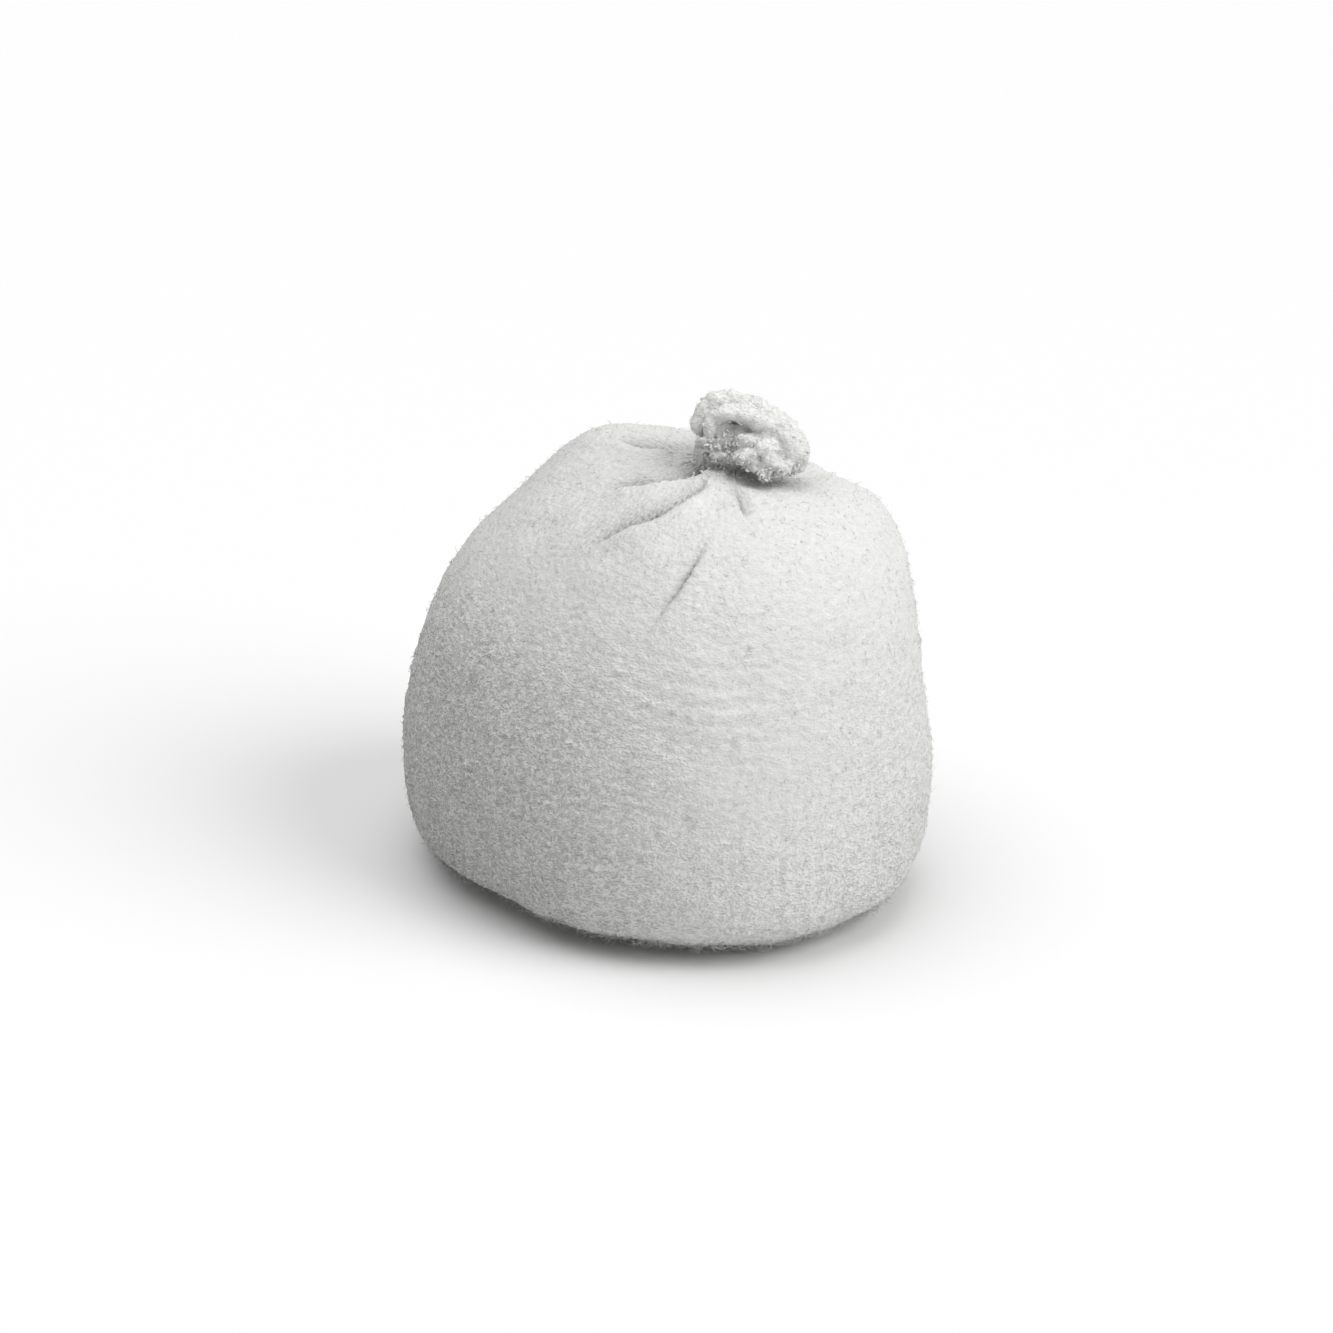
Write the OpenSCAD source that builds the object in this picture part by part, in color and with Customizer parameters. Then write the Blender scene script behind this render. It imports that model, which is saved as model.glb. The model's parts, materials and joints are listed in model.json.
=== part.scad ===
// Herbal compress ball: a terry-knit tube filled with a bag of dried herbs and closed by a
// knot in its own tail. Millimetres, +Z up, origin on the table under the middle of the ball.
// +X is to the right of a person looking at the front, and the front faces -Y.

/* [Ball] */
// Width of the ball, left to right
body_w = 69.6; // [60:0.2:80]
// Depth of the ball, front to back
body_d = 68.4; // [60:0.2:80]
// Height of the crown over the table
crown_z = 59; // [50:0.5:66]
// Height of the widest part over the table
belly_z = 17; // [14:0.5:24]
// Thickness of the terry cloth, both piles included
cloth_t = 2.4; // [2:0.1:3]

/* [Neck and knot] */
// How far the neck stands to the right of the middle
neck_x = 7.6; // [4:0.2:10]
// Width of the knot
knot_w = 12.8; // [12:0.2:13.6]
// Angle by which the knot lies over from upright
knot_lean = 50; // [40:1:55]
// Direction in which the knot lies over: 0 is right, -90 is to the front
knot_turn = -45; // [-60:5:-30]

/* [Herbs] */
// Number of cut lemongrass stems
stem_count = 6; // [3:1:7]
// Number of dried root slices
slice_count = 6; // [3:1:6]
// Number of citrus peel strips
peel_count = 5; // [3:1:5]
// Number of camphor crystals
crystal_count = 7; // [3:1:9]

/* [Hidden] */
$fn = 48;

// Shape of the ball: exponents of its rounded outline, and how it is off true
foot_square = 4.4;      // outline below the belly
crown_square = 2.7;     // outline above the belly
side_square = 0.95;     // added on the right side, taken off the left
back_square = 0.3;      // added at the back, taken off the front
plan_skew = 0.08;       // the plan is longer from front right to back left
crown_tilt = 3.6;       // fall of the crown to the right over half a width
foot_depth = 1.02;      // how far the outline would run on below the flat foot
cover_cols = 48;
bag_cols = 36;
foot_rows = 8;
crown_rows = 18;

// Hollow in the crown where the neck and the knot lie
dip = [10, -2];
dip_z = 2.5;
dip_r = 10;
throat_z = 6.6;         // extra depth over the bag's neck, inside the cover
throat_r = 7;

// Liner bag
bag_gap = 0.2;
bag_t = 0.4;
bag_inset = cloth_t + bag_gap;
fill_gap = 0.25;
fill_inset = bag_inset + bag_t + fill_gap;
seam_t = 0.5;
seam_w = 2.2;
seam_l = 32;
seam_teeth = 16;
bag_floor = cloth_t + seam_t + 0.2;
fill_floor = bag_floor + bag_t + fill_gap;
bag_neck_r = 2.1;
bag_waist_r = 1.5;
bag_neck_h = 4.6;
string_r = 0.4;

// Neck
gap = 0.3;              // clearance where the cloth is parted so that it can move
neck_r = 2.7;
neck_hole_r = neck_r + gap;
fold_r = 2.2;           // roll of cloth that the knot bends over
fold_l = 4;
pleat_count = 12;
pleat_r = 0.5;
pleat_h = 0.5;
pleat_z = 1.1;          // height of the pleats over the crown

// Herbs
slack = 0.1;            // room round each piece in the powder

function squared(x) = x * x;
function bell(dx, dy, r) = exp(-(squared(dx) + squared(dy)) / squared(r));
function dip_at(x, y) = dip_z * bell(x - dip[0], y - dip[1], dip_r);

neck_z = crown_z - dip_at(neck_x, 0);            // the cloth round the neck
pivot = [neck_x, 0, neck_z + 2.6];               // where the knot bends over
knot_tube_r = 2.5;
knot_ring_r = knot_w / 2 - knot_tube_r;
knot_out = 6.4;                                  // pivot to the middle of the knot
strand_r = knot_ring_r - knot_tube_r - slack;
ruffle_out = knot_out + knot_tube_r + 1.9;
cap_t = 0.8;
cap_z = 2;

// Exponent of the outline above the belly, in direction a
function upper(a) = crown_square + side_square * cos(a) + back_square * sin(a);
// Length of the unit outline of exponent n at angle t over the horizontal
function reach(t, n) = 1 / pow(pow(cos(t), n) + pow(sin(t), n), 1 / n);
function plan(a) = 1 + plan_skew * cos(2 * (a - knot_turn));
// How far the outline has moved over to the neck, from its share of the full radius
function drift(share) = pow(1 - share, 1.5);

// A point of the ball's skin below the belly; inset and floor give the layers inside
function foot_point(a, t, inset, floor_z) =
    let (k = reach(t, foot_square), share = k * cos(t), drop = foot_depth * k * sin(t))
    [(body_w / 2 - inset) * plan(a) * cos(a) * share,
     (body_d / 2 - inset) * plan(a) * sin(a) * share,
     max(floor_z, belly_z - (belly_z - floor_z) * drop)];

// A point above the belly
function crown_point(a, t, inset, throat) =
    let (n = upper(a), k = reach(t, n), share = k * cos(t), rise = k * sin(t),
         x = (body_w / 2 - inset) * plan(a) * cos(a) * share + neck_x * drift(share),
         y = (body_d / 2 - inset) * plan(a) * sin(a) * share,
         z = belly_z + (crown_z - inset - belly_z) * rise)
    [x, y, z - crown_tilt * squared(rise) * (x - neck_x) / (body_w / 2)
           - squared(rise) * dip_at(x, y) - throat * bell(x - neck_x, y, throat_r)];

// Angle at which the outline below the belly meets the flat foot
foot_t = atan(1 / pow(pow(foot_depth, foot_square) - 1, 1 / foot_square));

// One closed layer of the ball: a flat foot, rings of points, and a point at the neck
module layer(cols, inset, floor_z, throat) {
    step = 360 / cols;
    feet = [for (j = [0 : foot_rows - 1], i = [0 : cols - 1])
            foot_point(i * step, foot_t * (1 - j / foot_rows), inset, floor_z)];
    crowns = [for (j = [0 : crown_rows - 1], i = [0 : cols - 1])
              crown_point(i * step, 90 * j / crown_rows, inset, throat)];
    rows = foot_rows + crown_rows;
    top = rows * cols;
    sides = [for (j = [0 : rows - 2], i = [0 : cols - 1])
             let (a = j * cols + i, b = j * cols + (i + 1) % cols)
             each [[a, a + cols, b], [b, a + cols, b + cols]]];
    lid = [for (i = [0 : cols - 1]) [top - cols + i, top, top - cols + (i + 1) % cols]];
    foot = [[for (i = [0 : cols - 1]) i]];
    polyhedron(points = concat(feet, crowns, [crown_point(0, 90, inset, throat)]),
               faces = concat(foot, sides, lid), convexity = 4);
}

// A ring of round section
module ring(ring_r, tube_r) {
    rotate_extrude() translate([ring_r, 0]) circle(tube_r, $fn = 24);
}

// Puts its children at the pivot, with +Z along the knot's own axis
module on_knot() {
    translate(pivot) rotate([0, knot_lean, knot_turn]) children();
}

// Terry tube stretched over the filling, closed underneath, open at the neck
module outer_cover() {
    color([0.88, 0.89, 0.86]) difference() {
        layer(cover_cols, 0, 0, 0);
        layer(cover_cols, cloth_t, cloth_t, 0);
        translate([neck_x, 0, neck_z - 8]) cylinder(r = neck_hole_r, h = 16);
    }
}

// Zigzag thread that closes the tube's lower end, on the inside of the foot
module seam_thread() {
    pitch = seam_l / seam_teeth;
    line = [for (i = [0 : seam_teeth]) [i * pitch - seam_l / 2, (i % 2 - 0.5) * seam_w]];
    back = [for (i = [seam_teeth : -1 : 0]) line[i] + [0, seam_t]];
    color([0.93, 0.93, 0.90])
        translate([0, 0, cloth_t]) linear_extrude(seam_t) polygon(concat(line, back));
}

// Neck of the liner bag: bunched cloth with a waist for the string
module bag_neck() {
    waist_z = bag_neck_h / 2;
    translate([neck_x, 0, bag_top_z() - bag_t]) rotate_extrude() polygon([
        [0, 0], [bag_neck_r, 0], [bag_neck_r, 0.8], [bag_waist_r, waist_z - 0.8],
        [bag_waist_r, waist_z + 1.4], [bag_neck_r + 0.3, bag_neck_h], [0, bag_neck_h]]);
}
function bag_top_z() = crown_z - bag_inset - dip_at(neck_x, 0) - throat_z;

// Closely woven cotton liner that keeps the ground herbs in
module inner_bag() {
    color([0.91, 0.88, 0.79]) union() {
        difference() {
            layer(bag_cols, bag_inset, bag_floor, throat_z);
            layer(bag_cols, bag_inset + bag_t, bag_floor + bag_t, throat_z);
        }
        bag_neck();
    }
}

// Cotton string wound round the liner's neck, with its knot
module bag_tie() {
    turn_r = bag_waist_r + string_r + 0.15;
    color([0.86, 0.80, 0.66])
        translate([neck_x, 0, bag_top_z() - bag_t + bag_neck_h / 2]) {
            for (i = [0 : 1]) translate([0, 0, i * 2 * string_r]) ring(turn_r, string_r);
            translate([turn_r + 3 * string_r, 0, string_r]) sphere(2 * string_r, $fn = 24);
        }
}

// Cut lemongrass stems, hollow, lying in the lowest layer
module stems(grow) {
    for (i = [0 : stem_count - 1])
        rotate(i * 360 / stem_count) translate([17, -5.5 - grow, 13 + 2 * (i % 2)])
            rotate([-90, 0, 0]) difference() {
                cylinder(r = 2.6 + grow, h = 11 + 2 * grow);
                if (grow == 0) translate([0, 0, -1]) cylinder(r = 1.6, h = 13);
            }
}

// Dried root slices, leaning like fallen coins in the third layer
module slices(grow) {
    for (i = [0 : slice_count - 1])
        rotate(i * 360 / slice_count + 30) translate([15, 0, 37]) rotate([0, 35, 0])
            translate([0, 0, -grow]) cylinder(r = 5.6 + grow, h = 2.4 + 2 * grow);
}

// Curled strips of citrus peel in the second layer
module peels(grow) {
    curl_r = 18;
    grow_a = atan(grow / curl_r);
    for (i = [0 : peel_count - 1])
        rotate(i * 360 / peel_count - grow_a) translate([0, 0, 22 - grow])
            rotate_extrude(angle = 50 + 2 * grow_a) translate([curl_r - grow, 0])
                square([1.6 + 2 * grow, 5 + 2 * grow]);
}

// Camphor crystals round the middle of the ball
module crystals(grow) {
    side = 2.6 + 2 * grow;
    for (i = [0 : crystal_count - 1])
        rotate(i * 360 / crystal_count) translate([8.5, 0, 27 + 3 * (i % 2)])
            rotate([20, 30, 0]) cube(side, center = true);
}

// Ground herbs and salt that fill the liner between the cut pieces
module herb_powder() {
    color([0.58, 0.47, 0.27]) difference() {
        layer(bag_cols, fill_inset, fill_floor, throat_z + 2 * fill_gap);
        stems(slack);
        slices(slack);
        peels(slack);
        crystals(slack);
    }
}

module lemongrass_stems() { color([0.74, 0.73, 0.46]) stems(0); }
module root_slices() { color([0.83, 0.63, 0.24]) slices(0); }
module peel_strips() { color([0.30, 0.38, 0.17]) peels(0); }
module camphor_crystals() { color([0.94, 0.95, 0.96]) crystals(0); }

// Gathered neck of the tube: a stub in the crown's hole, pleats, and a roll across the top
module neck_gather() {
    stub_h = 2.2;
    color([0.84, 0.85, 0.82]) {
        translate([neck_x, 0, neck_z - stub_h]) cylinder(r = neck_r, h = stub_h + 0.7);
        translate([neck_x, 0, neck_z]) cylinder(r = 1.9, h = 2);
        translate([neck_x, 0, neck_z + pleat_z]) cylinder(r = neck_r + gap, h = pleat_h);
        translate(pivot) rotate([90, 0, knot_turn]) cylinder(r = fold_r, h = fold_l, center = true);
        for (i = [0 : pleat_count - 1])
            rotate_about_neck(i * 360 / pleat_count) translate([neck_r + gap, 0, neck_z + pleat_z])
                cylinder(r = pleat_r, h = pleat_h, $fn = 16);
    }
}
module rotate_about_neck(a) {
    translate([neck_x, 0, 0]) rotate(a) children();
}

// Loop of the overhand knot, wound round the tail
module knot_band() {
    color([0.87, 0.88, 0.85])
        on_knot() translate([0, 0, knot_out]) ring(knot_ring_r, knot_tube_r);
}

// The tail itself: a cap over the neck's roll, then a strand through the loop
module tail_strand() {
    socket_r = fold_r + gap;
    color([0.85, 0.86, 0.83]) on_knot() difference() {
        union() {
            difference() {
                rotate([90, 0, 0]) cylinder(r = socket_r + cap_t, h = fold_l, center = true);
                translate([0, 0, cap_z - 2 * fold_l]) cube(4 * fold_l, center = true);
            }
            translate([0, 0, cap_z]) cylinder(r = strand_r, h = ruffle_out - cap_z - 0.6);
        }
        rotate([90, 0, 0]) cylinder(r = socket_r, h = 2 * fold_l, center = true);
    }
}

// Cut end of the tube, opened out in lobes
module tail_ruffle() {
    lobes = 6;
    color([0.90, 0.91, 0.88]) on_knot() translate([0, 0, ruffle_out]) {
        difference() {
            union() {
                cylinder(r = 2.6, h = 1.6, center = true);
                for (i = [0 : lobes - 1])
                    rotate(i * 360 / lobes) translate([2.7, 0, 0]) sphere(1.45, $fn = 24);
            }
            translate([0, 0, -2]) cylinder(r = strand_r + slack, h = 1.6);
        }
    }
}

outer_cover();
seam_thread();
inner_bag();
bag_tie();
herb_powder();
lemongrass_stems();
root_slices();
peel_strips();
camphor_crystals();
neck_gather();
knot_band();
tail_strand();
tail_ruffle();
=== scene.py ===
"""Looks of the herbal compress ball: a terry-knit pouch, gathered and knotted in its own tail.

Lengths are in millimetres up to mesh_object(), which writes metres. +Z is up, the front faces -Y.
"""
import json
import math

import bpy
import numpy as np
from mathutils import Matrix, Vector, noise


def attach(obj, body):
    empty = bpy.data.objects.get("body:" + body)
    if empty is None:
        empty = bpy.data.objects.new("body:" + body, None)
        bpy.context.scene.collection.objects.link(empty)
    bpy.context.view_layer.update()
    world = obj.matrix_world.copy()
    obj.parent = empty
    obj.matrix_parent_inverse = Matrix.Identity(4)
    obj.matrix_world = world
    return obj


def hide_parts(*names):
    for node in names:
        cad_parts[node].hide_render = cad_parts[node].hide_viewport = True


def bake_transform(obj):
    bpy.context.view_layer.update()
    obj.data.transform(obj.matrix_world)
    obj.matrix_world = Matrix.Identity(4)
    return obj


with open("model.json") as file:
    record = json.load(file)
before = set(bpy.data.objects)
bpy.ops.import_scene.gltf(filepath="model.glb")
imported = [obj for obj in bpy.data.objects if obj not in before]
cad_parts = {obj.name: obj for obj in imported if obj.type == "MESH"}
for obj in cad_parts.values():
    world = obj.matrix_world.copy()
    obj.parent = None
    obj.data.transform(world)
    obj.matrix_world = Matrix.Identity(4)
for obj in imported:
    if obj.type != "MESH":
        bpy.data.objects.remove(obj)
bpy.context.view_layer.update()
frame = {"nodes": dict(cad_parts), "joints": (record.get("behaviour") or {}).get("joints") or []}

MM = 0.001
SEED = 7


# ---------------------------------------------------------------- sizes
# From the frame: the knot's hinge, which stands over the middle of the neck
JOINT = {j["name"]: j for j in frame["joints"]}
PIVOT = np.array(JOINT["knot_lean"]["pos_m"]) / MM
LEAN_AXIS = np.array(JOINT["knot_lean"]["axis"])
NECK = PIVOT[:2]

# The ball, as in the CAD: width, depth, height of the crown and of the widest part
BODY_W = 69.6
BODY_D = 68.4
CROWN_Z = 59.0
BELLY_Z = 17.0
# The plan is longer from front right to back left
PLAN_SKEW = 0.08
SKEW_DIR = math.radians(-45)
# Exponents of the rounded outline below and above the belly, what the right side and the back add to
# the upper one, and how far the outline would run on below the flat foot
FOOT_SQUARE = 4.4
CROWN_SQUARE = 2.7
SIDE_SQUARE = 0.95
BACK_SQUARE = 0.3
FOOT_DEPTH = 1.02
# Fall of the crown to the right over half a width
CROWN_TILT = 3.6
# Hollow in the crown: place, depth and reach
DIP = (10.0, -2.0)
DIP_Z = 2.5
DIP_R = 10.0
# How sharply the crown is drawn over to the neck
NECK_PULL = 1.5
# The gathered neck: its top over the pivot, its radius, and how hard its curve leaves and arrives
NECK_TOP = 0.6
NECK_R = 2.3
NECK_LEAVE = 1.6
NECK_ARRIVE = 4.5
# Heights below which the cloth counts as foot, and above which it counts as near the neck
FOOT_ZONE_Z = 4
NECK_ZONE_Z = 50

# The knit: a tube of 144 wales, with courses about as far apart as the wales
WALES = 144
PER_WALE = 4
COLS = WALES * PER_WALE
COURSE = 1.4
ROW = COURSE / PER_WALE
SPACING = (math.pi * BODY_W / COLS, ROW)
OUTLINE_SAMPLES = 2000
RNG = np.random.default_rng(SEED)


# ---------------------------------------------------------------- small tools
def smooth(x, low, high):
    """A smooth step from 0 at low to 1 at high."""
    t = np.clip((x - low) / (high - low), 0, 1)
    return t * t * (3 - 2 * t)


def unit(v):
    return v / np.maximum(np.linalg.norm(v, axis=-1, keepdims=True), 1e-12)


def spline(points, step=0.5):
    """Catmull-Rom curve through the points, sampled about every step millimetres."""
    p = np.array(points, float)
    p = np.vstack([2 * p[0] - p[1], p, 2 * p[-1] - p[-2]])
    out = []
    for i in range(1, len(p) - 2):
        n = max(2, int(np.linalg.norm(p[i + 1] - p[i]) / step))
        for t in np.arange(n) / n:
            out.append(
                0.5
                * (
                    2 * p[i]
                    + (p[i + 1] - p[i - 1]) * t
                    + (2 * p[i - 1] - 5 * p[i] + 4 * p[i + 1] - p[i + 2]) * t * t
                    + (3 * p[i] - p[i - 1] - 3 * p[i + 1] + p[i + 2]) * t**3
                )
            )
    out.append(p[-2])
    return np.array(out)


def mesh_object(name, points, faces):
    """A smooth-shaded mesh object from millimetre points."""
    mesh = bpy.data.meshes.new(name)
    mesh.from_pydata([tuple(p) for p in np.asarray(points) * MM], [], faces)
    mesh.validate()
    mesh.shade_smooth()
    ob = bpy.data.objects.new(name, mesh)
    bpy.context.scene.collection.objects.link(ob)
    return ob


def points_of(ob):
    """A mesh's points, in millimetres."""
    co = np.empty(len(ob.data.vertices) * 3)
    ob.data.vertices.foreach_get("co", co)
    return co.reshape(-1, 3) / MM


def normals_of(ob):
    no = np.empty(len(ob.data.vertices) * 3)
    ob.data.vertex_normals.foreach_get("vector", no)
    return no.reshape(-1, 3)


def move_points(ob, points):
    ob.data.vertices.foreach_set("co", (np.asarray(points) * MM).ravel())
    ob.data.update()


# ---------------------------------------------------------------- the ball's form
def outline(t, n):
    """Share of the full radius and share of the full height, on an outline of exponent n."""
    k = 1 / (np.cos(t) ** n + np.sin(t) ** n) ** (1 / n)
    return k * np.cos(t), k * np.sin(t)


def plan(a):
    """Share of the radius in direction a, for the plan's skew."""
    return 1 + PLAN_SKEW * np.cos(2 * (a - SKEW_DIR))


def foot_surface(a, t):
    share, drop = outline(t, FOOT_SQUARE)
    x = BODY_W / 2 * plan(a) * np.cos(a) * share
    y = BODY_D / 2 * plan(a) * np.sin(a) * share
    z = np.maximum(0, BELLY_Z * (1 - FOOT_DEPTH * drop))
    return np.stack(np.broadcast_arrays(x, y, z), -1)


def crown_surface(a, t):
    n = CROWN_SQUARE + SIDE_SQUARE * np.cos(a) + BACK_SQUARE * np.sin(a)
    share, rise = outline(t, n)
    x = BODY_W / 2 * plan(a) * np.cos(a) * share + NECK[0] * (1 - share) ** NECK_PULL
    y = BODY_D / 2 * plan(a) * np.sin(a) * share
    dip = DIP_Z * np.exp(-((x - DIP[0]) ** 2 + (y - DIP[1]) ** 2) / DIP_R**2)
    z = BELLY_Z + (CROWN_Z - BELLY_Z) * rise
    z = z - rise**2 * (CROWN_TILT * (x - NECK[0]) / (BODY_W / 2) + dip)
    return np.stack(np.broadcast_arrays(x, y, z), -1)


def even_rows(surface, low, high, step):
    """Values of t from low to high that put rows about step millimetres apart."""
    t = np.linspace(low, high, OUTLINE_SAMPLES)
    a = np.radians(np.arange(0, 360, 15))
    arc = np.linalg.norm(np.diff(surface(a[None], t[:, None]), axis=0), axis=-1).mean(1)
    run = np.concatenate([[0], np.cumsum(arc)])
    count = int(round(run[-1] / step))
    return np.interp(np.linspace(0, run[-1], count + 1), run, t)


def neck_rows(ring, count):
    """Rows from the crown's last ring up the gathered neck, round the pivot."""
    centre = np.array([NECK[0], NECK[1], PIVOT[2] + NECK_TOP])
    out = ring - np.array([NECK[0], NECK[1], 0])
    direction = unit(out * [1, 1, 0])
    end = centre + direction * NECK_R
    t = (np.arange(1, count + 1) / count)[:, None, None]
    reach = np.linalg.norm((out * [1, 1, 0]), axis=-1, keepdims=True) - NECK_R
    leave = -direction * reach * NECK_LEAVE
    arrive = np.array([0, 0, NECK_ARRIVE])
    h1 = 2 * t**3 - 3 * t**2 + 1
    h2 = t**3 - 2 * t**2 + t
    h3 = -2 * t**3 + 3 * t**2
    h4 = t**3 - t**2
    return h1 * ring + h2 * leave + h3 * end + h4 * arrive


ANGLES = np.radians(np.arange(COLS) * 360 / COLS)
FOOT_T = math.atan((1 / (FOOT_DEPTH**FOOT_SQUARE - 1)) ** (1 / FOOT_SQUARE))
NECK_T = math.radians(86)
FOOT_RINGS = 7
NECK_ROWS = 16


def ball_rows():
    """The whole cloth as rows of points, from the middle of the foot up the neck."""
    lower_t = even_rows(foot_surface, FOOT_T, 0, ROW)
    upper_t = even_rows(crown_surface, 0, NECK_T, ROW)
    lower = foot_surface(ANGLES[None], lower_t[:, None])
    upper = crown_surface(ANGLES[None], upper_t[1:, None])
    shares = ((np.arange(FOOT_RINGS) + 0.5) / FOOT_RINGS)[:, None, None]
    foot = lower[0] * shares
    neck = neck_rows(upper[-1], NECK_ROWS)
    return np.concatenate([foot, lower, upper, neck]), len(foot) + len(lower) + len(upper)


def grid_normals(p):
    around = np.roll(p, -1, 1) - np.roll(p, 1, 1)
    along = np.gradient(p, axis=0)
    return unit(np.cross(around, along))


# ---------------------------------------------------------------- folds
# Each fold of the crown: its line in plan, millimetres; depth; width of the steep side and of the
# slack side; the share of its length over which it fades in and out; and how strong the painted shade
# on its slack side is, and how far that reaches.
FOLDS = [
    ([(7.0, -2.4), (3.6, -5.0), (-0.3, -6.2), (-5.3, -5.0), (-8.5, -4.0)],
     1.7, 0.25, 1.5, 0.15, 0.3, 0.95, 2.1),
    ([(6.2, -4.4), (4.1, -11.0), (0.6, -14.4), (-4.5, -14.9), (-10.5, -14.2)],
     2.2, 0.25, 1.9, 0.3, 0.25, 0.75, 2.0),
    ([(8.8, -6.0), (9.8, -11.4), (10.3, -15.1), (10.6, -18.0)], 1.5, 0.8, 0.25, 0.4, 0.3, 0.4, 0.8),
    ([(6.4, -19.0), (4.6, -22.3), (2.2, -25.1), (-0.7, -26.9), (-3.6, -28.6)],
     1.2, 0.2, 0.7, 0.4, 0.6, 0.4, 0.7),
    ([(5.4, 3.4), (1.0, 4.2), (-2.6, 4.6), (-6.4, 7.6)], 1.5, 0.3, 1.6, 0.5, 0.25, 0.5, 1.5),
    ([(6.6, 4.0), (4.0, 10.0), (-1.0, 17.0)], 2.0, 0.4, 1.4, 0.2, 0.5, 0.4, 1.2),
    ([(8.4, 3.8), (9.6, 11.0), (9.0, 21.0)], 2.0, 0.4, 1.3, 0.2, 0.5, 0.4, 1.2),
    ([(11.0, 2.4), (17.0, 8.0), (20.0, 15.0)], 1.8, 0.4, 1.3, 0.2, 0.5, 0.4, 1.2),
    ([(11.6, 0.4), (18.0, 1.5), (23.0, 3.0)], 1.2, 0.4, 1.0, 0.2, 0.6, 0.3, 1.0),
]


# A fold's section: how sharp its valley is; the lip's height on the steep and the slack side, and its
# distance and width; the width and share of the painted shade along the crease line; and how sharply
# the painted shade over the slack side ends
VALLEY_POWER = 0.8
LIP_STEEP, LIP_SLACK = 0.22, 0.06
LIP_AT, LIP_W = 1.6, 1.4
CREASE_W, CREASE_SHADE = 0.35, 0.7
SHADE_POWER = 1.3
# Cloth above this height is searched for a fold's line
FOLDS_FROM = BELLY_Z + 8


def on_form(line, p):
    """A plan line laid on the crown: each point takes the height of the nearest cloth point."""
    flat = p.reshape(-1, 3)
    flat = flat[flat[:, 2] > FOLDS_FROM]
    nearest = [np.argmin(((flat[:, :2] - q) ** 2).sum(1)) for q in line]
    return np.column_stack([line, flat[nearest, 2]])


def fold_depth(p, normals, fold):
    """How far each cloth point sinks at one fold, millimetres, and how much painted shade its valley gets, 0
    to 1.
    """
    line, depth, steep, slack, fade_in, fade_out, dark, reach = fold
    path = on_form(spline(line, 1.0), p)
    best = np.full(p.shape[:2], 1e9)
    side = np.zeros(p.shape[:2])
    along = np.zeros(p.shape[:2])
    for i in range(len(path) - 1):
        a, b = path[i], path[i + 1]
        d = b - a
        t = np.clip(((p - a) @ d) / (d @ d), 0, 1)
        off = p - (a + t[..., None] * d)
        distance = np.linalg.norm(off, axis=-1)
        near = distance < best
        best = np.where(near, distance, best)
        turned = np.einsum("ijk,ijk->ij", np.cross(np.broadcast_to(d, p.shape), off), normals)
        side = np.where(near, np.sign(turned), side)
        along = np.where(near, (i + t) / (len(path) - 1), along)
    # side > 0 is on the left of the line's run, which is the front of a fold that runs left
    width = np.where(side > 0, steep, slack)
    ends = smooth(along, 0, fade_in) * (1 - smooth(along, 1 - fade_out, 1))
    valley = np.exp(-((best / width) ** VALLEY_POWER))
    lip = np.where(side > 0, LIP_STEEP, LIP_SLACK) * np.exp(-(((best - LIP_AT) / LIP_W) ** 2))
    # Painted shade: a narrow band along the crease line, and a wider one over the slack side
    crease_mask = np.exp(-((best / CREASE_W) ** 2))
    slope = np.where(side > 0, 0, np.exp(-((best / reach) ** SHADE_POWER)))
    return depth * ends * (valley - lip), ends * dark * np.maximum(CREASE_SHADE * crease_mask, slope)


# Low lumps of the filling: direction in degrees, height, size across, and how far they stand out
LUMPS = [
    (-15, 18, 11, 1.0),
    (-5, 33, 11, -1.3),
    (-22, 12, 6, -0.7),
    (-62, 4, 8, 0.4),
    (-33, 7, 6, 0.5),
    (-90, 4, 14, -0.6),
    (-40, 52, 14, 0.4),
    (-150, 56, 13, 0.6),
    (128, 57, 8, 1.5),
    (146, 51, 10, -1.2),
    (82, 57, 8, -1.1),
    (20, 56, 6, -1.7),
    (5, 51, 7, 0.8),
    (178, 45, 13, 0.9),
    (168, 57, 9, -0.9),
    (-140, 5, 11, -1.2),
    (-118, 34, 14, -0.4),
    (-80, 20, 18, 0.5),
    (60, 30, 16, 0.6),
    (-60, 38, 12, -0.3),
]


# A heading that is a quarter turn off counts as much as this many millimetres of height
TURN_WEIGHT = 40


def lump_height(p):
    """How far the filling's lumps push the cloth out, millimetres."""
    out = np.zeros(p.shape[:2])
    for direction, z, size, height in LUMPS:
        a = math.radians(direction)
        flat = p.reshape(-1, 3)
        heading = unit(flat * [1, 1, 0])
        fit = heading @ [math.cos(a), math.sin(a), 0] * TURN_WEIGHT - np.abs(flat[:, 2] - z)
        centre = flat[np.argmax(fit)]
        out += height * np.exp(-((p - centre) ** 2).sum(-1) / size**2)
    return out


# The pile's random fields: wavelengths round and up the cloth, their spread, and the seed
CRINKLE = ((4.6, 1.25), 0.45, SEED + 1)
TUFT = ((2.4, 0.95), 0.35, SEED + 2)
SOFT = ((14.0, 9.0), 0.6, SEED + 3)
DRIFT = ((6.0, 12.0), 0.6, SEED + 4)
GRAIN = ((1.2, 1.0), 0.3, SEED + 5)
SPECKLE = ((1.2, 1.0), 0.3, SEED + 6)
# Heights of each in the pile, of the cracks between the crinkles, and of the ribs, at ease and stretched
CRINKLE_H, TUFT_H, SOFT_H, GRAIN_H = 0.035, 0.04, 0.06, 0.035
CRACK_H, CRACK_W, CRACK_MEAN = 0.05, 0.4, 0.4
RIB_H, RIB_STRETCHED_H, RIB_DRIFT = 0.006, 0.055, 0.12
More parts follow.
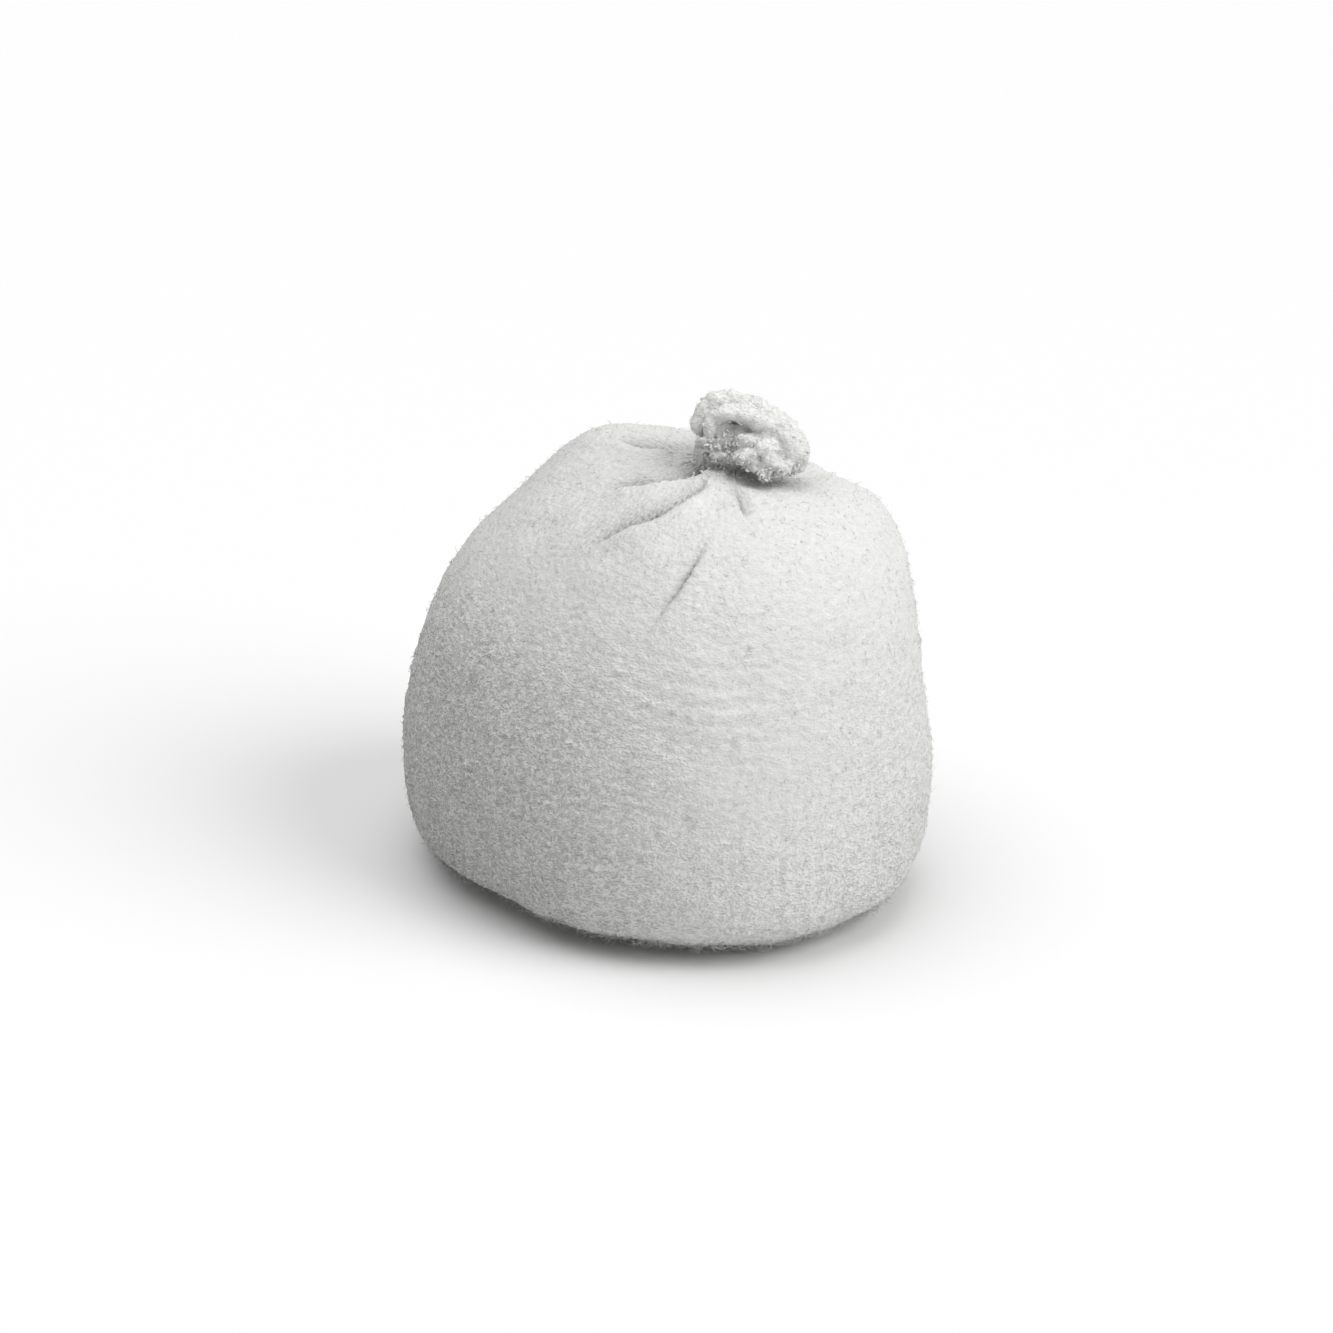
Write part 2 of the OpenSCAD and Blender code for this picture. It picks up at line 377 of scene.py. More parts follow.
# Where the cloth is stretched: direction, how far round, and between which heights that ends
STRETCH_DIR = np.array([0.87, -0.5, 0])
STRETCH_TURN = (0.35, 0.95)
STRETCH_Z = (14, 32)
STRETCH_LOSS = 0.45
# Where the grain is more loopy, to the left, and where the pile is flatter, towards the crown
LOOPY_X, LOOPY_MORE = (-5, 32), 0.8
FLAT_Z, FLAT_LESS = (35, 56), 0.2
# Rows above the foot over which the pile begins
FADE_ROWS = 12


def band_noise(shape, wave, spread, seed):
    """Periodic noise on the cloth's grid, with wavelengths round wave, in millimetres (x, y)."""
    field = np.fft.fft2(np.random.default_rng(seed).standard_normal(shape))
    fy = np.fft.fftfreq(shape[0], SPACING[1])[:, None]
    fx = np.fft.fftfreq(shape[1], SPACING[0])[None]
    radius = np.sqrt((fx * wave[0]) ** 2 + (fy * wave[1]) ** 2)
    field = np.fft.ifft2(field * np.exp(-(((radius - 1) / spread) ** 2))).real
    return field / field.std()


def knit_height(p):
    """The terry pile: short crosswise crinkles, a finer grain, and ribs where it is stretched."""
    shape = p.shape[:2]
    crinkle = band_noise(shape, *CRINKLE)
    tuft = band_noise(shape, *TUFT)
    grain = band_noise(shape, *GRAIN)
    soft = band_noise(shape, *SOFT)
    drift = band_noise(shape, *DRIFT)
    rib = np.cos(2 * np.pi * (np.arange(shape[1])[None] / PER_WALE + RIB_DRIFT * drift))
    cracks = np.exp(-((crinkle / CRACK_W) ** 2)) - CRACK_MEAN
    stretched = (1 - smooth(p[..., 2], *STRETCH_Z)) * smooth(unit(p * [1, 1, 0]) @ STRETCH_DIR, *STRETCH_TURN)
    slack = 1 - STRETCH_LOSS * stretched
    loopy = 1 + LOOPY_MORE * smooth(-p[..., 0], *LOOPY_X)
    flat = 1 - FLAT_LESS * smooth(p[..., 2], *FLAT_Z)
    height = slack * (CRINKLE_H * crinkle + TUFT_H * tuft - CRACK_H * cracks)
    height = flat * (height + GRAIN_H * loopy * grain)
    height = height + rib * (RIB_H + RIB_STRETCHED_H * stretched) + SOFT_H * soft
    rows = np.arange(shape[0])[:, None]
    return smooth(rows, FOOT_RINGS, FOOT_RINGS + FADE_ROWS) * height


# Slack courses across the front: height, heading and spread in degrees, level and width of their band,
# their pitch, how the band climbs to the left of a place, and how the courses waver
RIPPLE_H = 0.088
RIPPLE_TURN, RIPPLE_SPREAD = -84, 26
RIPPLE_Z, RIPPLE_BAND = 36.5, 5
RIPPLE_PITCH = 2.3
RIPPLE_CLIMB, RIPPLE_CLIMB_X = 0.011, 4
WAVER, WAVER_X = 1.8, 5


def ripple_height(p):
    """Slack courses across the front, at the height where the folds end."""
    turn = np.degrees(np.arctan2(p[..., 1], p[..., 0]))
    front = np.exp(-(((turn - RIPPLE_TURN) / RIPPLE_SPREAD) ** 2))
    level = p[..., 2] - RIPPLE_Z - RIPPLE_CLIMB * np.minimum(p[..., 0] - RIPPLE_CLIMB_X, 0) ** 2
    near = np.exp(-((level / RIPPLE_BAND) ** 2))
    phase = 2 * np.pi * level / RIPPLE_PITCH + WAVER * np.sin(p[..., 0] / WAVER_X)
    return RIPPLE_H * front * near * np.cos(phase)


# Pleats that run into the neck: two counts round it, height, and the radius and width of their ring
PLEATS, FINE_PLEATS = 13, 29
PLEAT_H, PLEAT_R, PLEAT_W = 0.18, 3.0, 3.2
# The collar: height, radius and width of its ring, its direction in radians, and its mean and swing
COLLAR_H, COLLAR_R, COLLAR_W = 1.0, 3.6, 2.4
COLLAR_DIR, COLLAR_MEAN, COLLAR_SWING = -2.2, 0.6, 0.8


def pleat_height(p):
    """Small pleats that run into the neck, and the collar of cloth that climbs it."""
    dx, dy = p[..., 0] - NECK[0], p[..., 1] - NECK[1]
    rho = np.hypot(dx, dy)
    angle = np.arctan2(dy, dx)
    wave = np.cos(PLEATS * angle + 1.3 * np.sin(3 * angle))
    wave = wave + 0.5 * np.cos(FINE_PLEATS * angle + 2 * np.sin(2 * angle))
    share = np.maximum(0, COLLAR_MEAN + COLLAR_SWING * np.cos(angle - COLLAR_DIR))
    collar = COLLAR_H * np.exp(-(((rho - COLLAR_R) / COLLAR_W) ** 2)) * share
    return PLEAT_H * wave * np.exp(-(((rho - PLEAT_R) / PLEAT_W) ** 2)) + collar


# Beads of pile: how fast a bead falls from its middle, and how wide the gap between two is
BEAD_FALL = 1.3
BEAD_GAP_W = 0.16
# Beads near the neck: size, height, the part of it that is taken off, the painted shade in the gaps
# between them, and how far to the left and front of the neck their middle is and how far from there they
# reach
BEAD = 0.9
BEAD_H, BEAD_MEAN = 0.35, 0.4
BEAD_GAP_SHADE = 0.08
BEAD_OFF, BEAD_REACH, BEAD_LEAST = 1.5, 5.5, 0.05


def bead_field(points, size):
    """Rounded beads of pile: height 0 to 1, and the share of gap between them."""
    height, gap = np.empty(len(points)), np.empty(len(points))
    for i, q in enumerate(points):
        near = noise.voronoi(Vector(q) / size, distance_metric="DISTANCE")[0]
        height[i] = 1 - min(1, near[0] * BEAD_FALL)
        gap[i] = math.exp(-(((near[1] - near[0]) / BEAD_GAP_W) ** 2))
    return height, gap


def neck_beads(p):
    """The pile near the neck isn't matted down: it stands in beads, on the left and front. Returns their
    height and the painted shade in the gaps between them.
    """
    rho = np.hypot(p[..., 0] - NECK[0] + BEAD_OFF, p[..., 1] - NECK[1] + BEAD_OFF)
    share = np.exp(-((rho / BEAD_REACH) ** 2)) * (p[..., 2] > NECK_ZONE_Z)
    bead, gap = np.zeros(share.shape), np.zeros(share.shape)
    near = share > BEAD_LEAST
    height, between = bead_field(p[near], BEAD)
    bead[near] = BEAD_H * share[near] * (height - BEAD_MEAN)
    gap[near] = BEAD_GAP_SHADE * share[near] * between
    return bead, gap


# The folds' painted shade: its mean, and how much it varies from tuft to tuft
SHADE_MEAN, SHADE_VARY = 0.85, 0.4


def shaped_cloth():
    """The finished cloth: its rows of points, how much painted shade each has, and the row where the neck
    starts.
    """
    rows, neck_start = ball_rows()
    normals = grid_normals(rows)
    rows = rows + normals * lump_height(rows)[..., None]
    normals = grid_normals(rows)
    folded = [fold_depth(rows, normals, fold) for fold in FOLDS]
    rows = rows - normals * sum(sink for sink, _ in folded)[..., None]
    speckle = band_noise(rows.shape[:2], *SPECKLE)
    shade = sum(dark for _, dark in folded) * (SHADE_MEAN + SHADE_VARY * speckle)
    rows = rows + normals * (pleat_height(rows) + ripple_height(rows))[..., None]
    normals = grid_normals(rows)
    rows = rows + normals * knit_height(rows)[..., None]
    bead, gap = neck_beads(rows)
    rows = rows + normals * bead[..., None]
    # The gaps between the beads add their painted shade
    shade = np.clip(shade + gap, 0, 1)
    rows[..., 2] = np.maximum(rows[..., 2], 0)
    rows[:FOOT_RINGS, :, 2] = 0
    return rows, shade, neck_start


def grid_faces(row_count, cols, first=0):
    """Quads of a grid whose rows are closed rings, with its first point at index first."""
    i = np.arange(cols)
    faces = []
    for r in range(row_count - 1):
        a = first + r * cols + i
        b = first + r * cols + (i + 1) % cols
        faces.extend(np.column_stack([a, b, b + cols, a + cols]).tolist())
    return faces


CLOTH, CLOTH_SHADE, NECK_START = shaped_cloth()


def set_shade(ob, values):
    """Stores the painted shade at each vertex, 0 to 1, which darkens the terry's colour."""
    layer = ob.data.attributes.new("shade", "FLOAT", "POINT")
    layer.data.foreach_set("value", np.asarray(values, float))


def make_cover():
    rows = CLOTH[:NECK_START]
    points = np.vstack([rows.reshape(-1, 3), [[0, 0, 0]]])
    faces = grid_faces(len(rows), COLS)
    hub = len(points) - 1
    faces += [[hub, (i + 1) % COLS, i] for i in range(COLS)]
    ob = mesh_object("cover_cloth", points, faces)
    set_shade(ob, np.append(CLOTH_SHADE[:NECK_START].ravel(), 0))
    return ob


def make_neck():
    rows = CLOTH[NECK_START - 1:]
    ob = mesh_object("neck_cloth", rows.reshape(-1, 3), grid_faces(len(rows), COLS))
    set_shade(ob, CLOTH_SHADE[NECK_START - 1:].ravel())
    return ob


# ---------------------------------------------------------------- the knot
# The knot is laid out on a plane that leans back: right, up and towards the front
KNOT = np.array([11.4, -3.9, 61.9])
LEAN_BACK = math.radians(22.5)
KNOT_AXES = np.array([
    [1, 0, 0],
    [0, math.sin(LEAN_BACK), math.cos(LEAN_BACK)],
    [0, -math.cos(LEAN_BACK), math.sin(LEAN_BACK)],
])


def knot_points(points):
    """Points of the knot's plane, in the frame of the part."""
    return KNOT + np.asarray(points, float) @ KNOT_AXES


def closed_ends(points, faces, sides):
    """Adds a hub at each end of a swept skin."""
    n = len(points) // sides
    hubs = np.array([points[:sides].mean(0), points[-sides:].mean(0)])
    a, b = n * sides, n * sides + 1
    last = (n - 1) * sides
    faces += [[a, (k + 1) % sides, k] for k in range(sides)]
    faces += [[b, last + k, last + (k + 1) % sides] for k in range(sides)]
    return np.vstack([points, hubs]), faces


def eased(values, n):
    """The values spread evenly over n steps."""
    return np.interp(np.linspace(0, len(values) - 1, n), np.arange(len(values)), values)


# How round the ends of a band are, and the least share of its width there, squared
END_POWER, END_LEAST = 12, 0.05


def band(path, widths, depth_share, sides=24, ribs=0, rib_depth=0.0):
    """Closed oval tube along a path of the knot's plane; depth_share is its depth over its width."""
    path = spline(path, 0.3)
    n = len(path)
    width = eased(widths, n)
    along = unit(np.gradient(path, axis=0))
    side = unit(np.cross(along, [0, 0, 1.0]))
    deep = np.cross(side, along)
    end = np.sqrt(np.maximum(END_LEAST, 1 - np.abs(2 * np.arange(n) / (n - 1) - 1) ** END_POWER))
    a = np.arange(sides) * 2 * np.pi / sides
    size = (width * end)[:, None, None] * (1 + rib_depth * np.cos(ribs * a))[None, :, None]
    ring = side[:, None] * np.cos(a)[None, :, None]
    ring = ring + depth_share * deep[:, None] * np.sin(a)[None, :, None]
    points = knot_points((path[:, None] + size * ring).reshape(-1, 3))
    return closed_ends(points, grid_faces(n, sides), sides)


def tube(path, radii, sides, ribs, rib_depth):
    """Closed ribbed tube along a path."""
    n = len(path)
    radius = eased(radii, n)
    along = unit(np.gradient(path, axis=0))
    side = unit(np.cross(along[0], [0.3, 0.2, 1]))
    a = np.arange(sides) * 2 * np.pi / sides
    rings = []
    for i in range(n):
        side = unit(side - along[i] * (side @ along[i]))
        up = np.cross(along[i], side)
        r = radius[i] * (1 + rib_depth * np.cos(ribs * a))
        rings.append(path[i] + np.outer(r * np.cos(a), side) + np.outer(r * np.sin(a), up))
    return closed_ends(np.vstack(rings), grid_faces(n, sides), sides)


def lump(centre, radii, count=10):
    """Closed oval lump, set in the knot's plane."""
    cols = 2 * count
    v = (np.arange(1, count) / count * np.pi)[:, None]
    u = (np.arange(cols) * 2 * np.pi / cols)[None]
    p = np.stack(np.broadcast_arrays(np.sin(v) * np.cos(u), np.sin(v) * np.sin(u), -np.cos(v)), -1)
    p = np.vstack([p.reshape(-1, 3), [[0, 0, -1], [0, 0, 1]]])
    faces = grid_faces(count - 1, cols)
    a, b = len(p) - 2, len(p) - 1
    last = (count - 2) * cols
    faces += [[a, (k + 1) % cols, k] for k in range(cols)]
    faces += [[b, last + k, last + (k + 1) % cols] for k in range(cols)]
    return knot_points(p * radii + centre), faces


def joined(parts):
    """Several meshes as one: points and faces."""
    points, faces, base = [], [], 0
    for p, f in parts:
        points.append(p)
        faces += [[i + base for i in face] for face in f]
        base += len(p)
    return np.vstack(points), faces


# The outer lip of the loop that arches over the knot, the rolled layer inside it, the band behind
# them, and the lumps that fill the middle
ARCH = [(-6.4, 0.8, -1.4), (-6.6, 2.3, -1.1), (-6.0, 3.9, -1.0), (-4.7, 5.05, -0.9), (-3.2, 5.3, -0.8),
        (-1.5, 4.9, -0.6), (0.2, 3.9, -0.4), (1.8, 2.8, -0.1), (3.5, 1.6, 0.0), (4.8, 0.2, 0.0),
        (5.4, -1.3, -0.2), (5.6, -2.5, -0.5), (5.0, -3.3, -1.0)]
ARCH_W = [0.9, 1.1, 1.25, 1.35, 1.4, 1.6, 2.1, 2.2, 2.2, 2.2, 2.2, 2.1, 1.6]
ROLL = [(-5.3, 0.5, 0.2), (-5.3, 2.0, 0.7), (-4.5, 3.2, 1.1), (-3.1, 3.8, 1.3), (-1.4, 3.6, 1.4),
        (0.4, 2.9, 1.5), (2.0, 1.8, 1.6)]
ROLL_W = [0.7, 0.85, 0.95, 1.05, 1.1, 1.2, 1.1]
BACK = [(-5.0, 0.0, -2.6), (-3.2, 2.6, -3.6), (0.2, 3.0, -4.2), (3.4, 0.9, -3.8), (4.9, -1.6, -2.6)]
BACK_W = [1.5, 2.2, 2.5, 2.5, 1.9]
CORE = [((1.8, -0.6, -1.8), (3.2, 2.8, 2.6)), ((3.6, -1.6, -1.4), (2.8, 2.6, 2.2)),
        ((-2.8, 1.2, -1.1), (2.6, 1.9, 1.2)), ((-2.2, -1.0, -1.8), (3.2, 1.6, 1.8)),
        ((-3.3, 1.7, 0.1), (1.7, 1.2, 0.9)), ((-0.8, 1.5, 0.2), (1.8, 1.0, 1.0))]
# The crumpled end of the tail, from the left lump round to the right
TAIL = [((-0.2, 0.1, 1.3), (1.7, 0.9, 1.1)), ((-0.3, -1.8, 1.4), (1.75, 1.1, 1.3)),
        ((1.7, -3.8, 1.3), (0.9, 1.15, 0.9)), ((4.0, -3.0, 1.2), (1.4, 1.3, 1.1)),
        ((1.9, -1.0, 1.9), (1.5, 1.2, 1.1)), ((3.5, -0.6, 1.4), (1.2, 1.2, 1.1)),
        ((2.2, 1.1, 1.2), (1.9, 1.1, 1.1)), ((5.1, -1.5, 0.9), (1.1, 1.3, 1.2)),
        ((2.7, -2.5, 1.7), (1.2, 1.1, 1.1)), ((0.8, -2.9, 1.0), (1.2, 0.9, 1.0))]
# Crumbs on each lump of it: count, radius, how far out they sit, and how they favour the front
TAIL_CRUMBS = 12
CRUMB_R = (0.28, 0.5)
CRUMB_OUT = 0.95
CRUMB_FRONT = 0.8
# The wound strand at the left: heights of its turns, and its radius along a turn
STRAND_LEVELS = (0.1, -0.55, -1.2)
STRAND_R = [0.3, 0.36, 0.3]
# The loops that fill the hollow beside it: count, radius, and where they lie
HOLLOW_LOOPS = 110
HOLLOW_LOOP_R = (0.26, 0.44)
HOLLOW_RIGHT, HOLLOW_UP, HOLLOW_OUT = (-5.0, -1.4), (-1.9, 0.8), (-0.4, 0.5)
# Painted shade on the knot, in its hollows, grooves and crevices and on its shaded parts: place and
# reach in its plane, and how much
KNOT_SHADES = [
    ((-3.3, 1.6), (1.6, 1.1), 0.42), ((-0.7, 1.7), (1.2, 0.5), 0.4), ((-6.2, -0.6), (1.4, 1.0), 0.75),
    ((-3.6, -0.6), (2.0, 0.9), 0.35), ((-0.9, -3.9), (1.2, 0.7), 0.6), ((1.0, -4.9), (1.3, 0.6), 0.75),
    ((3.6, -5.4), (1.6, 0.7), 0.75), ((6.6, -2.9), (1.3, 1.8), 0.12), ((-6.0, 3.9), (0.5, 0.8), 0.2),
    ((-4.8, 5.0), (0.9, 0.4), 0.2), ((1.0, -2.2), (2.2, 0.5), 0.15), ((4.4, 0.2), (0.9, 0.5), 0.15),
]


def knot_parts():
    """Every closed skin of the knot, which the voxel remesh joins."""
    rng = np.random.default_rng(SEED + 10)
    parts = [band(ARCH, ARCH_W, 1.2, ribs=5, rib_depth=0.04), band(ROLL, ROLL_W, 1.1),
             band(BACK, BACK_W, 1.0, ribs=6, rib_depth=0.06)]
    parts += [lump(centre, radii) for centre, radii in CORE + TAIL]
    for centre, radii in TAIL:
        for _ in range(TAIL_CRUMBS):
            aim = unit(rng.standard_normal(3) + [0, 0, CRUMB_FRONT])
            size = rng.uniform(*CRUMB_R)
            parts.append(lump(centre + aim * radii * CRUMB_OUT, (size, size, size), 6))
    for level in STRAND_LEVELS:
        turn = [(-7.2, level, -0.1), (-6.1, level + 0.12, 0.5), (-4.8, level + 0.1, -0.2)]
        parts.append(band(turn, STRAND_R, 1.0, sides=12))
    for _ in range(HOLLOW_LOOPS):
        r, u = rng.uniform(*HOLLOW_RIGHT), rng.uniform(*HOLLOW_UP)
        size = rng.uniform(*HOLLOW_LOOP_R)
        parts.append(lump((r, u, rng.uniform(*HOLLOW_OUT)), (size, size, size), 6))
    return parts


def applied(ob):
    """Writes the modifiers' result into the mesh."""
    graph = bpy.context.evaluated_depsgraph_get()
    mesh = bpy.data.meshes.new_from_object(ob.evaluated_get(graph))
    ob.modifiers.clear()
    old = ob.data
    ob.data = mesh
    bpy.data.meshes.remove(old)


# How fast a granule falls from its middle
GRANULE_FALL = 1.6


def granules(ob, size, height, lumps, lump_size):
    """Stands a terry surface out in granules, with broader lumps under them."""
    p, n = points_of(ob), normals_of(ob)
    out = np.empty(len(p))
    for i, q in enumerate(p):
        v = Vector(q)
        near = noise.voronoi(v / size, distance_metric="DISTANCE_SQUARED")[0][0]
        out[i] = height * (1 - min(1, near * GRANULE_FALL)) + lumps * noise.noise(v / lump_size)
    move_points(ob, p + n * out[:, None])


# Depths between which the knot's back turns to its front
KNOT_FRONT = (-4.0, -1.5)
# The hollow between the arch and the tail: place, reach, depths between which it ends, and its painted shade
HOLLOW_AT, HOLLOW_REACH = (-3.6, -0.6), (2.2, 1.1)
HOLLOW_DEEP, HOLLOW_SHADE = (-0.9, 0.5), 0.5


def knot_shade(p):
    """The painted shade on the knot at each point, 0 to 1."""
    q = (p - KNOT) @ KNOT_AXES.T
    front = smooth(q[:, 2], *KNOT_FRONT)
    out = np.zeros(len(p))
    for (r, u), (reach_r, reach_u), amount in KNOT_SHADES:
        out += amount * np.exp(-(((q[:, 0] - r) / reach_r) ** 2 + ((q[:, 1] - u) / reach_u) ** 2))
    hollow = np.exp(-((((q[:, :2] - HOLLOW_AT) / HOLLOW_REACH) ** 2).sum(1)))
    deep = 1 - smooth(q[:, 2], *HOLLOW_DEEP)
    return np.clip(front * (out + HOLLOW_SHADE * hollow * deep), 0, 1)


# Edge of the voxels that join the knot's skins
VOXEL = 0.17


def make_knot():
    ob = mesh_object("knot_cloth", *joined(knot_parts()))
    mod = ob.modifiers.new("voxels", "REMESH")
    mod.mode = "VOXEL"
    mod.voxel_size = VOXEL * MM
    mod.use_smooth_shade = True
    soft = ob.modifiers.new("soft", "SMOOTH")
    soft.factor = 0.5
    soft.iterations = 3
    applied(ob)
    granules(ob, size=0.7, height=0.13, lumps=0.35, lump_size=1.4)
    set_shade(ob, knot_shade(points_of(ob)))
    return ob


# The knot's root: its lean at rest, how far its path runs below and beyond the pivot, and its radii
ROOT_LEAN = math.radians(50)
ROOT_BELOW, ROOT_BEYOND = (1.6, 0.4), (1.2, 3.6)
ROOT_R = [2.35, 2.3, 2.2, 2.4]


def make_knot_root():
    """Gathered tube between the neck and the knot, which bends over at the pivot."""
    up = np.array([0, 0, 1.0])
    away = unit(np.cross(LEAN_AXIS, up) * -1)
    out = away * math.sin(ROOT_LEAN) + up * math.cos(ROOT_LEAN)
    path = spline([PIVOT - up * h for h in ROOT_BELOW] + [PIVOT + out * h for h in ROOT_BEYOND], 0.2)
    return mesh_object("knot_root", *tube(path, ROOT_R, sides=96, ribs=PLEATS, rib_depth=0.08))


# ---------------------------------------------------------------- yarn loops and fuzz
def surface_samples(points, faces, count, rng, weight=None):
    """Random places on a mesh: positions and normals. weight makes some places more likely."""
    tri = np.array([t for f in faces for t in ([f[0], f[1], f[2]], [f[0], f[2], f[-1]])])
    a, b, c = points[tri[:, 0]], points[tri[:, 1]], points[tri[:, 2]]
    cross = np.cross(b - a, c - a)
    area = np.linalg.norm(cross, axis=1) / 2
    if weight is not None:
        area = area * weight((a + b + c) / 3)
    pick = rng.choice(len(tri), count, p=area / area.sum())
    u, v = rng.random(count), rng.random(count)
    flip = u + v > 1
    u, v = np.where(flip, 1 - u, u), np.where(flip, 1 - v, v)
    where = a[pick] + u[:, None] * (b - a)[pick] + v[:, None] * (c - a)[pick]
    return where, unit(cross[pick])


# Terry loops: how they tilt and roll, how their size varies, how deep their ends stand, half their width
LOOP_TILT, LOOP_ROLL = 0.8, 0.5
LOOP_VARY = (0.7, 1.3)
LOOP_SINK, LOOP_HALF_W = 0.15, 0.55


def loops(name, where, normals, size, yarn, rng, sides=5, steps=8):
    """Terry loops: small bent yarns whose two ends stand in the cloth."""
    a = np.arange(sides) * 2 * np.pi / sides
    points, faces = [], []
    for k in range(len(where)):
        n = normals[k]
        tangent = unit(np.cross(n, rng.standard_normal(3)))
        tilt = LOOP_TILT * rng.standard_normal() * np.cross(n, tangent)
        roll = LOOP_ROLL * rng.standard_normal() * tangent
        lean = unit(n + tilt + roll)
        s = size * rng.uniform(*LOOP_VARY)
        t = np.linspace(-LOOP_SINK, math.pi + LOOP_SINK, steps)
        across = np.outer(np.cos(t) * s * LOOP_HALF_W, tangent)
        path = where[k] + across + np.outer(np.sin(t) * s - LOOP_SINK * s, lean)
        along = unit(np.gradient(path, axis=0))
        first = unit(np.cross(tangent, lean))
        base = len(points) * steps * sides
        ring = []
        for i in range(steps):
            second = np.cross(along[i], first)
            ring.append(path[i] + yarn * (np.outer(np.cos(a), first) + np.outer(np.sin(a), second)))
        points.append(np.vstack(ring))
        faces += grid_faces(steps, sides, base)
        faces.append([base + j for j in range(sides)][::-1])
        faces.append([base + (steps - 1) * sides + j for j in range(sides)])
    return mesh_object(name, np.vstack(points), faces)


# Loose fibres: how their length varies, how much longer they are at the foot, how far they bend, rise
# and flatten, how far they run along the cloth, how deep they are rooted, and how they thin out
HAIR_VARY, HAIR_FOOT = (0.4, 1.4), 0.7
HAIR_BEND, HAIR_RISE, HAIR_FLATTEN = (-0.9, 0.9), (0.3, 1.0), 0.45
HAIR_RUN, HAIR_ROOT, HAIR_THIN = 0.7, 0.05, 0.6
FLOOR_GAP = 0.01


def hairs(name, where, normals, length, radius, rng, steps=3):
    """Loose fibres: thin three-sided threads that curl out of the pile."""
    count = len(where)
    a = np.arange(3) * 2 * np.pi / 3
    tangent = unit(np.cross(normals, rng.standard_normal((count, 3))))
    third = np.cross(normals, tangent)
    longer = 1 + HAIR_FOOT * (where[:, 2] < FOOT_ZONE_Z)
    size = (length * rng.uniform(*HAIR_VARY, count) * longer)[:, None]
    bend = rng.uniform(*HAIR_BEND, count)[:, None]
    rise = rng.uniform(*HAIR_RISE, count)[:, None]
    rings = []
    for i in range(steps):
        t = i / (steps - 1)
        centre = (where - normals * HAIR_ROOT + normals * size * rise * (t - HAIR_FLATTEN * t * t)
                  + tangent * size * t * HAIR_RUN + third * size * bend * t * t)
        width = radius * (1 - HAIR_THIN * t)
        rings.append(centre[:, None] + width * (np.cos(a)[None, :, None] * normals[:, None]
                                                + np.sin(a)[None, :, None] * third[:, None]))
    points = np.stack(rings, 1).reshape(-1, 3)
    points[:, 2] = np.maximum(points[:, 2], FLOOR_GAP)
    faces = []
    base = np.arange(count) * steps * 3
    for i in range(steps - 1):
        for j in range(3):
            q = base + i * 3
            faces += np.column_stack([q + j, q + (j + 1) % 3, q + 3 + (j + 1) % 3, q + 3 + j]).tolist()
    faces += np.column_stack([base + 2, base + 1, base]).tolist()
    top = base + (steps - 1) * 3
    faces += np.column_stack([top, top + 1, top + 2]).tolist()
    return mesh_object(name, points, faces)


def faces_of(ob):
    """The corners of each face, as lists of point numbers."""
    return [list(f.vertices) for f in ob.data.polygons]


# ---------------------------------------------------------------- materials
def material(name, roughness, sheen=0.0):
    mat = bpy.data.materials.new(name)
    mat.use_nodes = True
    shader = mat.node_tree.nodes["Principled BSDF"]
    shader.inputs["Roughness"].default_value = roughness
    shader.inputs["Sheen Weight"].default_value = sheen
    shader.inputs["Sheen Roughness"].default_value = 0.6
    shader.inputs["Specular IOR Level"].default_value = 0.2
    return mat, mat.node_tree, shader


def add(tree, kind, **values):
    """A node of a kind; values set its inputs of that name, or else its own settings."""
    node = tree.nodes.new(kind)
    for key, value in values.items():
        if key in node.inputs:
            node.inputs[key].default_value = value
        else:
            setattr(node, key, value)
    return node


def millimetres(tree, stretch=(1, 1, 1)):
    """The piece's own coordinates, scaled so that one unit is a millimetre."""
    where = add(tree, "ShaderNodeTexCoord")
    scale = add(tree, "ShaderNodeMapping")
    scale.inputs["Scale"].default_value = [s / MM for s in stretch]
    tree.links.new(where.outputs["Object"], scale.inputs["Vector"])
    return scale.outputs["Vector"]


def noise_of(tree, vector, size, detail=3.0, rough=0.6):
    node = add(tree, "ShaderNodeTexNoise", Scale=1 / size, Detail=detail, Roughness=rough)
    tree.links.new(vector, node.inputs["Vector"])
    return node.outputs["Fac"]


def ramp(tree, value, dark, light, low=0.3, high=0.7):
    node = add(tree, "ShaderNodeValToRGB")
    node.color_ramp.elements[0].position = low
    node.color_ramp.elements[1].position = high
    node.color_ramp.elements[0].color = (*dark, 1)
    node.color_ramp.elements[1].color = (*light, 1)
    tree.links.new(value, node.inputs["Fac"])
    return node.outputs["Color"]


def bumped(tree, shader, height, depth, strength=1.0):
    node = add(tree, "ShaderNodeBump", Strength=strength, Distance=depth * MM)
    tree.links.new(height, node.inputs["Height"])
    tree.links.new(node.outputs["Normal"], shader.inputs["Normal"])


def mapped(tree, value, low, high, start, end):
    """A smooth step from start, where the value is low, to end, where it is high."""
    node = add(tree, "ShaderNodeMapRange", interpolation_type="SMOOTHSTEP")
    tree.links.new(value, node.inputs["Value"])
    for name, number in zip(("From Min", "From Max", "To Min", "To Max"), (low, high, start, end)):
        node.inputs[name].default_value = number
    return node.outputs["Result"]


def maths(tree, operation, a, b, c=None):
    """One arithmetic node; each operand is a socket or a number."""
    node = add(tree, "ShaderNodeMath", operation=operation)
    for i, value in enumerate((a, b, c)):
        if isinstance(value, (int, float)):
            node.inputs[i].default_value = value
        elif value is not None:
            tree.links.new(value, node.inputs[i])
    return node.outputs[0]


# Colour of the fullest painted shade, and the Mix node's sockets for its two colours and its result
SHADE = (0.16, 0.16, 0.15)
MIX_A, MIX_B, MIX_RESULT = 6, 7, 2
